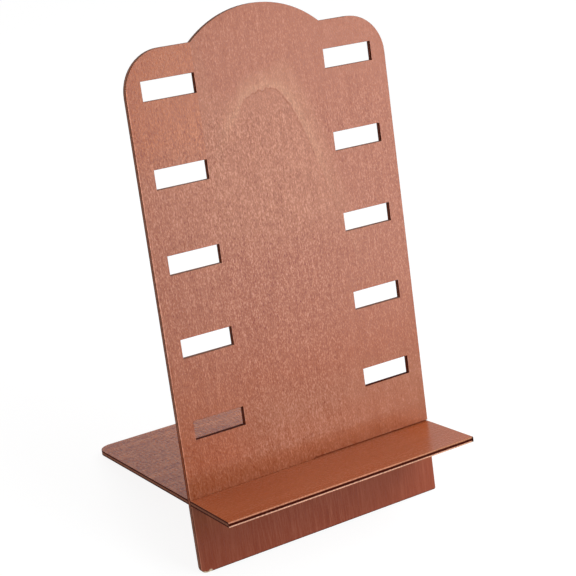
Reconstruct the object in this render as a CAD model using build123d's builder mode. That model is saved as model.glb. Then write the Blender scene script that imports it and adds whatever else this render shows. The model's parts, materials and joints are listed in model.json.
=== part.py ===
from build123d import *
import math
import os

# Eyeglass display rack: a tall slotted panel that leans back, crossed near its foot by a
# base board that is a shelf in front and a prop behind. Both are laser-cut from three-ply
# wood, and they push together sideways with a pair of half-width slots (an egg-crate joint).
# Millimetres, +Z up. The origin is on the table, under the middle of the rack.
# -Y is the front, where the spectacles hang, and +X is the right side seen from the front.

# ---- Sheet ----
veneer_thickness = 1.3
core_thickness = 1.6
sheet_thickness = 2 * veneer_thickness + core_thickness

# ---- Display panel, measured along its own plane from its bottom edge ----
rack_width = 220.0
shoulder_height = 392.0
crest_rise = 20.5
crest_half_chord = 54.5
shoulder_radius = 31.0
foot_radius_left = 5.0
foot_radius_right = 1.5

# ---- Temple slots ----
slot_length = 42.4
slot_height = 14.4
slot_centre_x = 76.2
slot_rows = 5
row_pitch = 63.0
top_row_height = 363.4

# ---- Base board, measured from the panel's middle plane ----
shelf_depth = 62.2
prop_depth = 172.8
prop_corner_radius = 12.0

# ---- Halving joint ----
joint_height = 57.6
play_under_board = 0.15
play_over_board = 0.85
play_around_panel = 0.3
end_gap = 0.1

# ---- Stance: both boards stand at right angles, on two edges, so the joint's height and the
# prop's depth set the lean ----
lean = math.atan2(joint_height - sheet_thickness / 2, prop_depth - sheet_thickness / 2)
panel_up = Vector(0, math.sin(lean), math.cos(lean))
panel_front = Vector(0, -math.cos(lean), math.sin(lean))

# The board's front and rear ends are the rack's outermost points, so they centre it in Y.
foot_y = -joint_height * math.sin(lean) - (prop_depth - shelf_depth) / 2 * math.cos(lean)
foot_z = sheet_thickness / 2 * math.sin(lean)

panel_plane = Plane(origin=(0, foot_y, foot_z), x_dir=(1, 0, 0), z_dir=panel_front)
board_plane = Plane(
    origin=panel_plane.from_local_coords((0, joint_height, 0)),
    x_dir=(1, 0, 0),
    z_dir=panel_up,
)

# Distance of each ply's underside from the sheet's middle plane.
lower_veneer_offset = -sheet_thickness / 2
core_offset = -core_thickness / 2
upper_veneer_offset = core_thickness / 2

# ---- Panel outline: square shoulders with rounded corners, and a round crest above them ----
crest_radius = (crest_half_chord**2 + crest_rise**2) / (2 * crest_rise)
crest_centre_height = shoulder_height + crest_rise - crest_radius
middle_row_height = top_row_height - (slot_rows - 1) / 2 * row_pitch

panel_slot_height = sheet_thickness + play_under_board + play_over_board
panel_slot_length = rack_width / 2 + end_gap
panel_slot_centre = (
    rack_width / 2 - panel_slot_length / 2,
    joint_height + (play_over_board - play_under_board) / 2,
)

with BuildSketch() as panel_profile:
    with Locations((0, shoulder_height / 2)):
        Rectangle(rack_width, shoulder_height)
    fillet(panel_profile.vertices().group_by(Axis.Y)[-1], shoulder_radius)
    fillet(panel_profile.vertices().group_by(Axis.Y)[0].sort_by(Axis.X)[0], foot_radius_left)
    fillet(panel_profile.vertices().group_by(Axis.Y)[0].sort_by(Axis.X)[-1], foot_radius_right)
    with Locations((0, crest_centre_height)):
        Circle(crest_radius)
    with Locations((0, middle_row_height)):
        with GridLocations(2 * slot_centre_x, row_pitch, 2, slot_rows):
            Rectangle(slot_length, slot_height, mode=Mode.SUBTRACT)
    # The panel's half of the joint is open at its right edge.
    with Locations(panel_slot_centre):
        Rectangle(panel_slot_length, panel_slot_height, mode=Mode.SUBTRACT)

# ---- Board outline: sharp corners in front, rounded corners at the rear ----
board_slot_width = sheet_thickness + 2 * play_around_panel
board_slot_length = rack_width / 2 + end_gap
board_slot_centre = (board_slot_length / 2 - rack_width / 2, 0)

with BuildSketch() as board_profile:
    with Locations((0, (prop_depth - shelf_depth) / 2)):
        Rectangle(rack_width, prop_depth + shelf_depth)
    fillet(board_profile.vertices().group_by(Axis.Y)[-1], prop_corner_radius)
    # The board's half of the joint is open at its left edge.
    with Locations(board_slot_centre):
        Rectangle(board_slot_length, board_slot_width, mode=Mode.SUBTRACT)

# ---- Plies of the display panel, from the back to the front ----
with BuildPart() as panel_back_veneer:
    with BuildSketch(panel_plane.offset(lower_veneer_offset)):
        add(panel_profile.sketch)
    extrude(amount=veneer_thickness)

with BuildPart() as panel_core:
    with BuildSketch(panel_plane.offset(core_offset)):
        add(panel_profile.sketch)
    extrude(amount=core_thickness)

with BuildPart() as panel_front_veneer:
    with BuildSketch(panel_plane.offset(upper_veneer_offset)):
        add(panel_profile.sketch)
    extrude(amount=veneer_thickness)

# ---- Plies of the base board, from the underside to the top ----
with BuildPart() as base_bottom_veneer:
    with BuildSketch(board_plane.offset(lower_veneer_offset)):
        add(board_profile.sketch)
    extrude(amount=veneer_thickness)

with BuildPart() as base_core:
    with BuildSketch(board_plane.offset(core_offset)):
        add(board_profile.sketch)
    extrude(amount=core_thickness)

with BuildPart() as base_top_veneer:
    with BuildSketch(board_plane.offset(upper_veneer_offset)):
        add(board_profile.sketch)
    extrude(amount=veneer_thickness)

# ---- Labels and files ----
panel_back_veneer.part.label = "panel_back_veneer"
panel_core.part.label = "panel_core"
panel_front_veneer.part.label = "panel_front_veneer"
base_bottom_veneer.part.label = "base_bottom_veneer"
base_core.part.label = "base_core"
base_top_veneer.part.label = "base_top_veneer"

os.makedirs("parts", exist_ok=True)
export_step(panel_back_veneer.part, "parts/panel_back_veneer.step")
export_step(panel_core.part, "parts/panel_core.step")
export_step(panel_front_veneer.part, "parts/panel_front_veneer.step")
export_step(base_bottom_veneer.part, "parts/base_bottom_veneer.step")
export_step(base_core.part, "parts/base_core.step")
export_step(base_top_veneer.part, "parts/base_top_veneer.step")

print(f"lean {math.degrees(lean):.2f} degrees")
print(f"panel foot at y {foot_y:.2f}, z {foot_z:.2f}")
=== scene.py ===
import json
import math

import bpy
from mathutils import Euler, Matrix, Vector


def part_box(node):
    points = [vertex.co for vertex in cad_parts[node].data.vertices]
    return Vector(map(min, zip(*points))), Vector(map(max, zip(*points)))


# Eyeglass display rack: the looks of its six plies. Metres, +Z up, -Y to the front.
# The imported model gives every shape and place. This script adds the rubbed arrises, the stained
# veneer, the laser-browned edges, the light and the camera.
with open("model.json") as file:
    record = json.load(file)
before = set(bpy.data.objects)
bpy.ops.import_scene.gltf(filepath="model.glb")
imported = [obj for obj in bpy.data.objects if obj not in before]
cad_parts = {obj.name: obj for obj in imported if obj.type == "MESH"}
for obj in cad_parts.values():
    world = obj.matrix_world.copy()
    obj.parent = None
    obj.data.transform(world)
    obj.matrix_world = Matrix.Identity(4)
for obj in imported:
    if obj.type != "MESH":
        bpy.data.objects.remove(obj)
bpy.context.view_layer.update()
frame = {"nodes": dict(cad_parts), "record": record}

MM = 0.001

# ---- Where the two boards lie, from the record's mounts ----
# The panel_foot mount lies in the panel's middle plane, and the prop_foot mount in the board's.
mounts = {mount["name"]: mount for mount in frame["record"]["mounts"]}
panel_foot = Vector(mounts["panel_foot"]["pos_m"])
prop_foot = Vector(mounts["prop_foot"]["pos_m"])
panel_up = -Vector(mounts["panel_foot"]["axis"])
board_rear = Vector(mounts["prop_foot"]["axis"])
panel_front = -board_rear
lean = math.atan2(panel_up.y, panel_up.z)
joint_centre = panel_foot + (prop_foot - panel_foot).dot(panel_up) * panel_up

# A sheet's own coordinates: x to the right, y along the sheet, z out of its front or upper face.
panel_turn = Euler((math.pi / 2 - lean, 0, 0))
board_turn = Euler((-lean, 0, 0))

HALF_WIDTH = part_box("panel_core")[1].x / MM

# ---- Camera: above the rack, and to the left of its front ----
VIEW_TARGET = Vector((0.0003, -0.0065, 0.1873))
VIEW_AZIMUTH = math.radians(-32.71)
VIEW_ELEVATION = math.radians(28.72)
VIEW_ROLL = math.radians(2.06)
VIEW_DISTANCE = 1.0964
VIEW_LENS = 89.89


def towards(azimuth, elevation):
    """The direction of an azimuth, 0 in front and growing to the right, and an elevation."""
    return Vector((
        math.sin(azimuth) * math.cos(elevation),
        -math.cos(azimuth) * math.cos(elevation),
        math.sin(elevation),
    ))


def looking_back(direction, distance):
    """A place at a distance from the target, with its -Z axis turned to the target."""
    turn = direction.to_track_quat("Z", "Y").to_matrix().to_4x4()
    return Matrix.Translation(VIEW_TARGET + distance * direction) @ turn


def add_camera():
    data = bpy.data.cameras.new("camera")
    data.lens = VIEW_LENS
    camera = bpy.data.objects.new("camera", data)
    place = looking_back(towards(VIEW_AZIMUTH, VIEW_ELEVATION), VIEW_DISTANCE)
    camera.matrix_world = place @ Matrix.Rotation(VIEW_ROLL, 4, "Z")
    bpy.context.collection.objects.link(camera)
    bpy.context.scene.camera = camera


# ---- Node trees in short calls that return output sockets ----
MIX_FACTOR = 0
MIX_A = 6
MIX_B = 7
MIX_RESULT = 2


class Graph:
    def __init__(self, tree):
        self.tree = tree
        self.tree.nodes.clear()

    def node(self, kind, inputs=None, **settings):
        made = self.tree.nodes.new(kind)
        for key, value in settings.items():
            setattr(made, key, value)
        for key, value in (inputs or {}).items():
            if isinstance(value, bpy.types.NodeSocket):
                self.tree.links.new(value, made.inputs[key])
            else:
                made.inputs[key].default_value = value
        return made

    def maths(self, operation, a, b=0.0, c=0.0):
        return self.node("ShaderNodeMath", {0: a, 1: b, 2: c}, operation=operation).outputs[0]

    def total(self, *values):
        result = values[0]
        for value in values[1:]:
            result = self.maths("ADD", result, value)
        return result

    def product(self, *values):
        result = values[0]
        for value in values[1:]:
            result = self.maths("MULTIPLY", result, value)
        return result

    def band(self, value, low, high, start=0.0, end=1.0):
        """A smooth step from start, below low, to end, above high."""
        inputs = {"Value": value, "From Min": low, "From Max": high, "To Min": start, "To Max": end}
        return self.node("ShaderNodeMapRange", inputs, interpolation_type="SMOOTHSTEP").outputs[0]

    def fade(self, value, low, high):
        """A smooth step from 1, below low, to 0, above high."""
        return self.band(value, low, high, 1.0, 0.0)

    def between(self, value, start, end):
        """A smooth rise over the range start, and a smooth fall over the range end."""
        return self.product(self.band(value, *start), self.fade(value, *end))

    def split(self, vector):
        return self.node("ShaderNodeSeparateXYZ", {0: vector}).outputs[:3]

    def dot(self, a, b):
        return self.node("ShaderNodeVectorMath", {0: a, 1: b}, operation="DOT_PRODUCT").outputs["Value"]


class Wood(Graph):
    """A material's nodes, in a sheet's own coordinates, in millimetres."""

    def __init__(self, name, origin, turn):
        self.material = bpy.data.materials.new(name)
        self.material.use_nodes = True
        super().__init__(self.material.node_tree)
        self.place = self.node("ShaderNodeTexCoord")
        to_sheet = {
            "Vector": self.place.outputs["Object"],
            "Location": origin,
            "Rotation": turn,
            "Scale": (MM, MM, MM),
        }
        self.at = self.node("ShaderNodeMapping", to_sheet, vector_type="TEXTURE").outputs[0]
        self.x, self.y, self.z = self.split(self.at)

    def noise(self, grain, detail=2.0, roughness=0.5, shift=0.0):
        """Noise about 0, within about 0.25 each way. Its features are about grain = (x, y, z) big."""
        stretch = {"Vector": self.at, "Scale": tuple(1 / g for g in grain), "Location": (shift,) * 3}
        stretched = self.node("ShaderNodeMapping", stretch).outputs[0]
        inputs = {"Vector": stretched, "Scale": 1.0, "Detail": detail, "Roughness": roughness}
        return self.maths("SUBTRACT", self.node("ShaderNodeTexNoise", inputs).outputs["Fac"], 0.5)

    def mix(self, factor, a, b, blend="MIX", clamped=True):
        made = self.node("ShaderNodeMix", data_type="RGBA", blend_type=blend, clamp_factor=clamped)
        for index, value in ((MIX_FACTOR, factor), (MIX_A, a), (MIX_B, b)):
            if isinstance(value, bpy.types.NodeSocket):
                self.tree.links.new(value, made.inputs[index])
            else:
                made.inputs[index].default_value = (*value, 1.0)
        return made.outputs[MIX_RESULT]

    def facing(self, direction):
        """How squarely the surface faces along a direction, either way, from 0 to 1."""
        return self.maths("ABSOLUTE", self.dot(self.place.outputs["Normal"], direction))

    def finish(self, colour, roughness, height, depth_mm, specular):
        relief = {"Height": height, "Distance": depth_mm * MM, "Strength": 1.0}
        bump = self.node("ShaderNodeBump", relief)
        inputs = {"Base Color": colour, "Roughness": roughness, "Normal": bump.outputs[0]}
        shader = self.node("ShaderNodeBsdfPrincipled", inputs)
        shader.inputs["Specular IOR Level"].default_value = specular
        self.node("ShaderNodeOutputMaterial", {"Surface": shader.outputs[0]})
        return self.material


# ---- Light: a room that is bright behind, a large softbox above and a lower one in front ----
ROOM_BACK = 0.72
ROOM_FRONT = 0.08
ROOM_BLEND = 0.2
LAMP_DISTANCE = 1.6
# name, azimuth and elevation in degrees, width and height in metres, watts
SOFTBOXES = (
    ("front_softbox", 35, 12, 1.2, 0.9, 16.5),
    ("overhead_softbox", 50, 52, 1.8, 0.9, 20.5),
)


def add_room():
    world = bpy.data.worlds.new("room")
    world.use_nodes = True
    g = Graph(world.node_tree)
    direction = g.split(g.node("ShaderNodeTexCoord").outputs["Generated"])
    lit = g.band(direction[1], -ROOM_BLEND, ROOM_BLEND, ROOM_FRONT, ROOM_BACK)
    seen = g.node("ShaderNodeLightPath").outputs["Is Camera Ray"]
    strength = g.maths("MAXIMUM", lit, seen)
    backdrop = g.node("ShaderNodeBackground", {"Color": (1.0, 1.0, 1.0, 1.0), "Strength": strength})
    g.node("ShaderNodeOutputWorld", {"Surface": backdrop.outputs[0]})
    bpy.context.scene.world = world
    bpy.context.scene.view_settings.view_transform = "Standard"


def add_softboxes():
    for name, azimuth, elevation, width, height, watts in SOFTBOXES:
        data = bpy.data.lights.new(name, "AREA")
        data.shape = "RECTANGLE"
        data.size = width
        data.size_y = height
        data.energy = watts
        lamp = bpy.data.objects.new(name, data)
        direction = towards(math.radians(azimuth), math.radians(elevation))
        lamp.matrix_world = looking_back(direction, LAMP_DISTANCE)
        bpy.context.collection.objects.link(lamp)


FLOOR_HALF = 6.0
FLOOR_GREY = 0.16
FLOOR_GLOW = 0.90


def add_floor():
    """A white sweep. It takes soft shadows, and doesn't colour the object."""
    mesh = bpy.data.meshes.new("floor")
    corners = [(-1, -1), (1, -1), (1, 1), (-1, 1)]
    mesh.from_pydata([(FLOOR_HALF * x, FLOOR_HALF * y, 0) for x, y in corners], [], [(0, 1, 2, 3)])
    floor = bpy.data.objects.new("floor", mesh)
    floor.visible_diffuse = False
    floor.visible_glossy = False
    floor.visible_shadow = False
    bpy.context.collection.objects.link(floor)
    paper = bpy.data.materials.new("floor_paper")
    paper.use_nodes = True
    g = Graph(paper.node_tree)
    grey = (FLOOR_GREY, FLOOR_GREY, FLOOR_GREY, 1.0)
    white = (1.0, 1.0, 1.0, 1.0)
    sheet = {"Base Color": grey, "Roughness": 0.9, "Specular IOR Level": 0.0}
    sheet |= {"Emission Color": white, "Emission Strength": FLOOR_GLOW}
    shader = g.node("ShaderNodeBsdfPrincipled", sheet)
    g.node("ShaderNodeOutputMaterial", {"Surface": shader.outputs[0]})
    mesh.materials.append(paper)


# ---- Colours, as linear light ----
STAIN_DEEP = (0.290, 0.050, 0.004)
STAIN_PALE = (0.500, 0.164, 0.082)
REDDER = (1.04, 0.88, 0.55)
EDGE_REDDER = (1.04, 0.64, 0.44)
PAINTED_SHEEN_TINT = (0.97, 1.13, 1.32)
SHELF_SHADE_TINT = (0.90, 0.96, 1.00)
UNDER_SHELF_SHADE_TINT = (0.000, 0.001, 0.016)
FIGURE_PALE_LIFT = (0.086, 0.074, 0.044)
LEFT_ARRIS_HIGHLIGHT = (0.250, 0.130, 0.090)
BARE_WOOD = (0.850, 0.680, 0.480)
JOINT_SHADE_AND_FOOT_LINE = (0.120, 0.022, 0.007)
RIGHT_JOINT_SHADE = (0.420, 0.070, 0.018)
GLUE = (0.055, 0.004, 0.001)
SOOT = (0.010, 0.003, 0.002)


# ---- Stained veneer ----
# A range is (from, to) in millimetres on a sheet: x from its middle, and y along it. The panel's y
# starts at its foot, and the board's y at the panel.
SATIN = 0.35
GRAIN_DEPTH = 0.10
GRAIN_RANGE = (-0.2, 0.2)
PANEL_ROUGHNESS = (0.29, 0.23)
BOARD_ROUGHNESS = (0.29, 0.24)
LINE_LENGTH = 9
STRIP_WIDTH = 6
STRIP_LENGTH = 40


def wood_grain(w, upright, across_mm, along_mm, shift):
    """Short strokes, long lines and broad strips, each about 0. The grain runs along y if upright."""
    def noise(across, along, detail, extra):
        grain = (across, along, across) if upright else (along, across, across)
        return w.noise(grain, detail, 0.5, shift + extra)
    return (
        noise(across_mm, along_mm, 2.0, 3.0),
        noise(across_mm, LINE_LENGTH * along_mm, 1.0, 5.0),
        noise(STRIP_WIDTH * across_mm, STRIP_LENGTH * along_mm, 2.0, 2.0),
    )


# The cathedral figure of the panel's face veneer is one lopsided arch. From its crown it falls as a
# hyperbola on the right, and as a flat curve with a shoulder and a steep leg on the left.
ARCH_MIDDLE = 5.0
ARCH_CROWN = 350.0
RIGHT_BEND = 102.6
RIGHT_SLOPE = 4.0
LEFT_FLATNESS = 90.0
LEFT_REACH = 33.0
LEFT_STEEPNESS = 8.0
LEFT_SHOULDER = 7.0
SHOULDER_X = (24, 30)
SCALLOP_GRAIN = (3.5, 3.5, 3.5)
LEFT_SCALLOPS = 3.6
RIGHT_SCALLOPS = 1.0


def arch_distance(w, across):
    """The distance outside the arch's line."""
    half = w.maths("ABSOLUTE", across)
    bent = w.maths("SQRT", w.total(RIGHT_BEND**2, w.product(half, half, RIGHT_SLOPE**2)))
    flat = w.product(half, half, 1 / LEFT_FLATNESS)
    steep = w.maths("POWER", w.product(half, 1 / LEFT_REACH), LEFT_STEEPNESS)
    right_slope = w.maths("DIVIDE", w.product(half, RIGHT_SLOPE**2), bent)
    left_rise = w.total(w.product(flat, 2.0), w.product(steep, LEFT_STEEPNESS))
    left_slope = w.maths("DIVIDE", left_rise, half)
    right = w.maths("GREATER_THAN", across, 0.0)
    left = w.maths("SUBTRACT", 1.0, right)
    left_fall = w.total(flat, steep, w.band(half, *SHOULDER_X, 0.0, LEFT_SHOULDER))
    fall = w.total(w.product(right, w.total(bent, -RIGHT_BEND)), w.product(left, left_fall))
    slope = w.total(w.product(right, right_slope), w.product(left, left_slope))
    size = w.band(across, 0, 10, LEFT_SCALLOPS, RIGHT_SCALLOPS)
    scallops = w.product(w.noise(SCALLOP_GRAIN, 0.0, 0.5, 21.0), size)
    rise = w.total(w.y, fall, scallops, -ARCH_CROWN)
    return w.maths("DIVIDE", rise, w.maths("SQRT", w.total(1.0, w.product(slope, slope))))


ARCH_LEGS_Y = (190, 240)
ARCH_HEIGHT_Y = (230, 345)
ARCH_HEART_Y = (215, 260)
HEART_PALENESS = 0.32


def arch_figure(w):
    """How dark the arch's scalloped line is, and how much paler the wood is around and inside it."""
    across = w.total(w.x, -ARCH_MIDDLE)
    outside = w.total(arch_distance(w, across), w.band(across, 8, 18, 0.0, -1.0))
    shown = w.product(w.band(w.y, *ARCH_HEIGHT_Y, 0.3, 1.0), w.band(w.y, *ARCH_LEGS_Y))
    # The pale halo is strongest just outside the line, and its inner side is soft on the left.
    soft_side = w.fade(across, -30, -20)
    start = w.band(outside, w.product(soft_side, -4.0), w.total(0.9, w.product(soft_side, 3.5)))
    fall = w.total(w.band(outside, 2.5, 8.0, 0.45, 0.0), w.band(outside, 8.0, 18.0, 0.55, 0.0))
    halo = w.product(start, fall, shown, w.band(across, -50, -30, 0.6, 1.0))
    heart = w.product(w.maths("SUBTRACT", 1.0, start), w.band(w.y, *ARCH_HEART_Y), HEART_PALENESS)
    line = w.between(outside, (-1.6, -0.5), (-0.4, 0.3))
    line = w.product(line, w.band(across, -26, -18), w.band(across, 12, 20, 1.0, 0.6), shown)
    return line, w.total(halo, heart)


FOOT_CORNER = (-105.0, 5.0)
WORN_REACH = (3.7, 4.4)
WORN_Y = (1.2, 2.4)
WORN_X = (-101.5, -100)


def worn_corner(w):
    """Where the stain is rubbed off the panel's lower left corner, down to the bare wood."""
    x = w.total(w.x, -FOOT_CORNER[0])
    y = w.total(w.y, -FOOT_CORNER[1])
    reach = w.maths("SQRT", w.total(w.product(x, x), w.product(y, y)))
    reach = w.total(reach, w.product(w.noise((1.5, 1.5, 1.5), 2.0, 0.6, 9.0), 2.0))
    return w.product(w.band(reach, *WORN_REACH), w.fade(w.y, *WORN_Y), w.fade(w.x, *WORN_X))


PANEL_GRAIN = (0.85, 1.8)
SHELF_Y = (50, 60)
CREST_Y = (330, 370)
UNDER_SHELF_Y = (20, 55)
SHELF_SHADE_Y = ((57, 62), (72, 84))
PAINTED_SHEEN_Y = ((70, 82), (100, 140))
PAINTED_SHEEN_X = (-75, -35)
ARCH_LINE_TONE = -0.35
VENEER_JOINT_X = (-54.8, -54.2)
LEFT_ARRIS_X = (-109.3, -108.7)
FOOT_LINE_Y = (0.4, 1.1)


def panel_tone(w, fine, strips):
    """How pale the panel's stain is, from 0 to 1, with its grain, and with painted light and shade
    around the shelf.
    """
    strength = w.product(
        w.band(w.x, 10, 60, 3.6, 2.55),
        w.band(w.x, -80, -40, 0.8, 1.0),
        w.band(w.y, 60, 250, 0.75, 1.0),
        w.band(w.y, 315, 360, 1.0, 0.55),
    )
    # Painted shade and light just above the shelf: darker on the left, lighter on the right.
    painted_light_and_shade_over_shelf = w.product(w.between(w.y, (60, 72), (100, 130)), w.band(w.x, -100, 0, -0.06, 0.1))
    top_left = w.product(w.band(w.x, -60, -30, -0.05, 0.0), w.band(w.y, 290, 320))
    return w.total(
        w.product(fine, strength),
        w.product(strips, w.band(w.y, *CREST_Y, 0.30, 0.18)),
        # Painted shade: the stain is deeper under the shelf.
        w.band(w.y, 30, 62, 0.28, 0.48),
        top_left,
        painted_light_and_shade_over_shelf,
    )


def make_panel_face(name, shift, figured):
    w = Wood(name, panel_foot, panel_turn)
    strokes, lines, strips = wood_grain(w, True, *PANEL_GRAIN, shift)
    fine = w.total(
        w.product(strokes, w.band(w.y, *SHELF_Y, 0.15, 1.0)),
        w.product(lines, w.band(w.y, *SHELF_Y, 0.4, 0.25)),
    )
    tone = panel_tone(w, fine, strips)
    if figured:
        line, pale_figure = arch_figure(w)
        tone = w.total(tone, w.product(line, ARCH_LINE_TONE))
    colour = w.mix(tone, STAIN_DEEP, STAIN_PALE, clamped=False)
    # Painted sheen: the panel is made greyer above the shelf, away from its left side.
    painted_sheen = w.product(w.between(w.y, *PAINTED_SHEEN_Y), w.band(w.x, *PAINTED_SHEEN_X))
    colour = w.mix(painted_sheen, colour, PAINTED_SHEEN_TINT, "MULTIPLY")
    # Painted shade: the panel is darker just above the shelf.
    colour = w.mix(w.between(w.y, *SHELF_SHADE_Y), colour, SHELF_SHADE_TINT, "MULTIPLY")
    # Painted shade: a cool tint is added low on the panel, under the shelf.
    colour = w.mix(w.fade(w.y, *UNDER_SHELF_Y), colour, UNDER_SHELF_SHADE_TINT, "ADD")
    if figured:
        # The top of the veneer is two leaves, and the left one is redder.
        left_leaf = w.product(w.fade(w.x, *VENEER_JOINT_X), w.band(w.y, 290, 330))
        colour = w.mix(left_leaf, colour, REDDER, "MULTIPLY")
        colour = w.mix(pale_figure, colour, FIGURE_PALE_LIFT, "ADD")
    # Painted highlight: the face is lighter along its left arris, broken up by the grain.
    left_arris_highlight = w.product(w.fade(w.x, *LEFT_ARRIS_X), w.band(fine, -0.1, 0.1, 0.5, 1.0))
    colour = w.mix(left_arris_highlight, colour, LEFT_ARRIS_HIGHLIGHT, "ADD")
    # A dark line is painted along the panel's foot.
    colour = w.mix(w.band(w.y, *FOOT_LINE_Y, 0.7, 0.0), colour, JOINT_SHADE_AND_FOOT_LINE)
    colour = w.mix(worn_corner(w), colour, BARE_WOOD)
    roughness = w.band(fine, *GRAIN_RANGE, *PANEL_ROUGHNESS)
    return w.finish(colour, roughness, fine, GRAIN_DEPTH, SATIN)


BOARD_GRAIN = (1.7, 2.6)
BOARD_TONE = 0.48
LINES_SHARE = 0.35
PROP_Y = (0, 30)
MIDDLE_X = (-1, 0)
SWIRL_PITCH = 1.6
SWIRL_GRAIN = (18.0, 45.0, 18.0)
SWIRL_WANDER = 36.0
SWIRL_TONE = 0.09
SWIRL_RELIEF = 0.55
JOINT_SHADE_LEFT_REACH = 3.1
JOINT_SHADE_RIGHT_REACH = 2.1
JOINT_SHADE_SOFTNESS = -0.3


def make_board_face(name, shift):
    """The shelf in front of the panel is smooth. The prop behind it has a coarser, swirling figure."""
    w = Wood(name, joint_centre, board_turn)
    strokes, lines, strips = wood_grain(w, False, *BOARD_GRAIN, shift)
    fine = w.total(strokes, w.product(lines, LINES_SHARE))
    behind = w.band(w.y, *PROP_Y)
    wander = w.product(w.noise(SWIRL_GRAIN, 2.0, 0.45, shift), SWIRL_WANDER)
    swirl = w.maths("SINE", w.total(w.product(w.x, SWIRL_PITCH), wander))
    swirl = w.product(swirl, behind)
    tone = w.total(
        BOARD_TONE,
        w.product(fine, w.band(w.y, *PROP_Y, 0.22, 3.8)),
        w.product(strips, w.band(w.y, *PROP_Y, 0.4, 1.5)),
        w.product(swirl, SWIRL_TONE),
        # Painted shade: the stain is deeper towards the board's left end.
        w.band(w.x, -100, 20, -0.15, 0.0),
    )
    colour = w.mix(tone, STAIN_DEEP, STAIN_PALE, clamped=False)
    # Painted light makes the shelf's right end redder, and painted shade makes the prop behind the
    # panel redder.
    redder = w.maths("MAXIMUM", w.band(w.y, 0, 20), w.band(w.x, 60, 105))
    colour = w.mix(redder, colour, REDDER, "MULTIPLY")
    # Painted shade: where the panel crosses the board, a dark band darkens the joint's gap,
    # along the board's own slot on the left, and inside the panel's slot on the right.
    reach = w.band(w.x, *MIDDLE_X, JOINT_SHADE_LEFT_REACH, JOINT_SHADE_RIGHT_REACH)
    joint_shade = w.fade(w.maths("ABSOLUTE", w.y), w.total(reach, JOINT_SHADE_SOFTNESS), reach)
    colour = w.mix(joint_shade, colour, w.mix(w.band(w.x, *MIDDLE_X), JOINT_SHADE_AND_FOOT_LINE, RIGHT_JOINT_SHADE))
    roughness = w.maths("MAXIMUM", w.band(fine, *GRAIN_RANGE, *BOARD_ROUGHNESS), joint_shade)
    relief = w.product(fine, w.band(w.y, *PROP_Y, 0.06, 4.5))
    relief = w.total(relief, w.product(swirl, SWIRL_RELIEF))
    return w.finish(colour, roughness, relief, GRAIN_DEPTH, SATIN)


# ---- Laser-cut edges ----
# Each ply's edge is browned in its own way. A tone is that of its outer sides, of the walls of its
# cut-outs, and of its long edges at one end and at the other.
PANEL_WALL = (0.080, 0.008, 0.001)
PANEL_LONG = ((0.070, 0.020, 0.014), (0.240, 0.115, 0.080))
PANEL_FRONT_CUT = ((0.300, 0.110, 0.068), PANEL_WALL, *PANEL_LONG)
PANEL_CORE_CUT = ((0.550, 0.235, 0.150), (0.270, 0.075, 0.042), *PANEL_LONG)
PANEL_BACK_CUT = ((0.180, 0.050, 0.030), PANEL_WALL, *PANEL_LONG)
BOARD_WALL = (0.060, 0.010, 0.004)
# The board's long edges are light where the grain runs along them, and lightened further as a painted
# highlight, the bottom ply most.
BOARD_TOP_LONG = ((0.720, 0.300, 0.180), (0.600, 0.270, 0.150))
BOARD_CORE_LONG = ((0.035, 0.001, 0.000), (0.110, 0.008, 0.001))
BOARD_BOTTOM_LONG = ((0.950, 0.520, 0.360), (0.880, 0.470, 0.300))
BOARD_TOP_CUT = ((0.085, 0.009, 0.004), BOARD_WALL, *BOARD_TOP_LONG)
BOARD_CORE_CUT = ((0.430, 0.170, 0.105), BOARD_WALL, *BOARD_CORE_LONG)
BOARD_BOTTOM_CUT = ((0.100, 0.015, 0.007), BOARD_WALL, *BOARD_BOTTOM_LONG)
PANEL_INNER = (98.0, 372.0)
BOARD_INNER = (96.0, 200.0)
KERF_GRAIN = (0.8, 0.8, 9.0)
KERF_DEPTH = 0.05
CHAR_ROUGHNESS = 0.85
MATT = 0.05


def browned_edge(w, tones, inner_limits, ramp):
    """The cut edge's colour and its laser lines. The walls of cut-outs lie inside the inner limits."""
    side, wall, long_start, long_end = tones
    inner_x, inner_y = inner_limits
    inner = w.product(
        w.fade(w.maths("ABSOLUTE", w.x), inner_x, inner_x + 1),
        w.fade(w.y, inner_y, inner_y + 1),
    )
    sideways = w.band(w.facing((1, 0, 0)), 0.5, 0.8)
    long_edge = w.mix(ramp, long_start, long_end)
    kerf = w.noise(KERF_GRAIN, 2.0, 0.6, 5.0)
    colour = w.mix(sideways, long_edge, w.mix(inner, side, wall))
    colour = w.mix(w.band(kerf, -0.15, 0.1, 0.35, 0.0), colour, SOOT)
    return colour, kerf


def make_panel_cut(name, tones):
    w = Wood(name, panel_foot, panel_turn)
    colour, kerf = browned_edge(w, tones, PANEL_INNER, w.band(w.y, 120, 180))
    redder = w.between(w.y, (50, 65), (100, 125))
    colour = w.mix(redder, colour, EDGE_REDDER, "MULTIPLY")
    colour = w.mix(worn_corner(w), colour, BARE_WOOD)
    return w.finish(colour, CHAR_ROUGHNESS, kerf, KERF_DEPTH, MATT)


GLUE_Z = (0.85, 1.2)
SHELF_FRONT_Y = (-62, -61)
RIGHT_END_X = (108, 109.5)


def make_board_cut(name, tones):
    w = Wood(name, joint_centre, board_turn)
    colour, kerf = browned_edge(w, tones, BOARD_INNER, w.band(w.x, 0, HALF_WIDTH))
    near_core = w.band(w.maths("ABSOLUTE", w.z), *GLUE_Z, 0.95, 0.0)
    glue_line = w.product(near_core, w.fade(w.y, *SHELF_FRONT_Y))
    colour = w.mix(glue_line, colour, GLUE)
    colour = w.mix(w.band(w.x, *RIGHT_END_X), colour, SOOT)
    return w.finish(colour, CHAR_ROUGHNESS, kerf, KERF_DEPTH, MATT)


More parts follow.
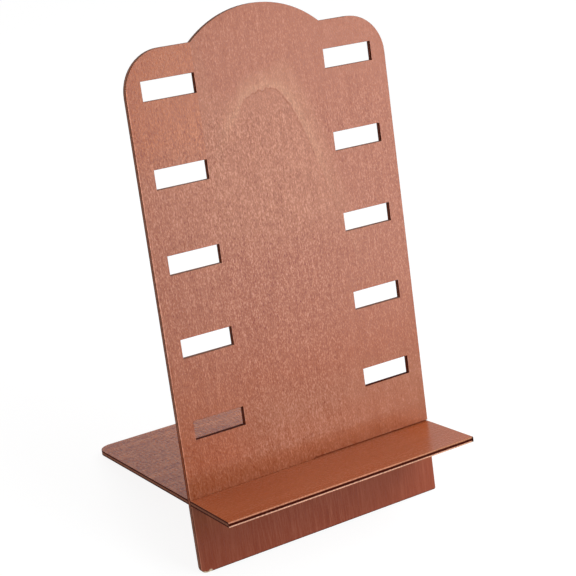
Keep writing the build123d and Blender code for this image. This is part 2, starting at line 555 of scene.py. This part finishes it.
# ---- The sheets' outer arrises are rubbed round; the plies meet flush at the glue lines ----
ARRIS = 0.22 * MM
ARRIS_SEGMENTS = 2
OUTER_FACE = 2.05 * MM
SHARP_ANGLE = math.radians(40)
FLAT_ANGLE = math.radians(0.5)
WELD_DISTANCE = 0.001 * MM
FACE_COSINE = 0.95


def start_modifier_nodes(name):
    tree = bpy.data.node_groups.new(name, "GeometryNodeTree")
    for way in ("INPUT", "OUTPUT"):
        tree.interface.new_socket("Geometry", in_out=way, socket_type="NodeSocketGeometry")
    g = Graph(tree)
    return g, g.node("NodeGroupInput").outputs["Geometry"]


def outer_arris_weights(name, origin, normal):
    """Modifier nodes that mark the sharp edges lying in a sheet's two outer faces, for the bevel."""
    g, start = start_modifier_nodes(name)
    offset = {0: g.node("GeometryNodeInputPosition").outputs[0], 1: origin}
    offset = g.node("ShaderNodeVectorMath", offset, operation="SUBTRACT").outputs[0]
    height = g.maths("ABSOLUTE", g.dot(offset, normal))
    outer = g.maths("GREATER_THAN", height, OUTER_FACE)
    bend = g.node("GeometryNodeInputMeshEdgeAngle").outputs["Unsigned Angle"]
    sharp = g.maths("GREATER_THAN", bend, SHARP_ANGLE)
    weight = g.maths("MULTIPLY", outer, sharp)
    store = {"Geometry": start, "Name": "bevel_weight_edge", "Value": weight}
    stored = g.node("GeometryNodeStoreNamedAttribute", store, data_type="FLOAT", domain="EDGE")
    g.node("NodeGroupOutput", {"Geometry": stored.outputs[0]})
    return g.tree


def cut_faces(name, normal, material):
    """Modifier nodes that give the cut edges and their rubbed arrises the cut edge's material."""
    g, start = start_modifier_nodes(name)
    upright = g.maths("ABSOLUTE", g.dot(g.node("GeometryNodeInputNormal").outputs["Normal"], normal))
    cut = g.maths("LESS_THAN", upright, FACE_COSINE)
    paint = {"Geometry": start, "Selection": cut, "Material": material}
    painted = g.node("GeometryNodeSetMaterial", paint)
    g.node("NodeGroupOutput", {"Geometry": painted.outputs[0]})
    return g.tree


def soften(node, weights):
    """Rounds a ply's outer arrises. Its flat faces are made whole before, and triangles after."""
    weld = node.modifiers.new("weld", "WELD")
    weld.merge_threshold = WELD_DISTANCE
    flat = node.modifiers.new("flat_faces", "DECIMATE")
    flat.decimate_type = "DISSOLVE"
    flat.angle_limit = FLAT_ANGLE
    node.modifiers.new("outer_edges", "NODES").node_group = weights
    arris = node.modifiers.new("arris", "BEVEL")
    arris.width = ARRIS
    arris.segments = ARRIS_SEGMENTS
    arris.limit_method = "WEIGHT"
    arris.harden_normals = True
    split = node.modifiers.new("triangles", "TRIANGULATE")
    split.ngon_method = "BEAUTY"
    split.keep_custom_normals = True


def dress(name, face, cut, normal, weights):
    """Gives a ply its rounded arrises, its face's wood and its cut edges."""
    node = frame["nodes"][name]
    soften(node, weights)
    for slot in node.material_slots:
        slot.material = face
    node.modifiers.new("cut_edges", "NODES").node_group = cut_faces(name + "_cut", normal, cut)


# ---- The camera, the light and the floor ----
add_camera()
add_room()
add_softboxes()
add_floor()

# ---- The display panel's plies ----
panel_weights = outer_arris_weights("panel_arrises", panel_foot, panel_front)
panel_front_cut = make_panel_cut("panel_front_edge", PANEL_FRONT_CUT)
panel_back_cut = make_panel_cut("panel_back_edge", PANEL_BACK_CUT)
panel_core_cut = make_panel_cut("panel_core_edge", PANEL_CORE_CUT)
panel_front_wood = make_panel_face("panel_front_wood", 0.0, True)
panel_back_wood = make_panel_face("panel_back_wood", 40.0, False)
dress("panel_front_veneer", panel_front_wood, panel_front_cut, panel_front, panel_weights)
dress("panel_back_veneer", panel_back_wood, panel_back_cut, panel_front, panel_weights)
dress("panel_core", panel_core_cut, panel_core_cut, panel_front, panel_weights)

# ---- The base board's plies ----
board_weights = outer_arris_weights("board_arrises", joint_centre, panel_up)
board_top_wood = make_board_face("base_top_wood", 60.0)
board_bottom_wood = make_board_face("base_bottom_wood", 80.0)
board_top_cut = make_board_cut("base_top_edge", BOARD_TOP_CUT)
board_bottom_cut = make_board_cut("base_bottom_edge", BOARD_BOTTOM_CUT)
board_core_cut = make_board_cut("base_core_edge", BOARD_CORE_CUT)
dress("base_top_veneer", board_top_wood, board_top_cut, panel_up, board_weights)
dress("base_bottom_veneer", board_bottom_wood, board_bottom_cut, panel_up, board_weights)
dress("base_core", board_core_cut, board_core_cut, panel_up, board_weights)
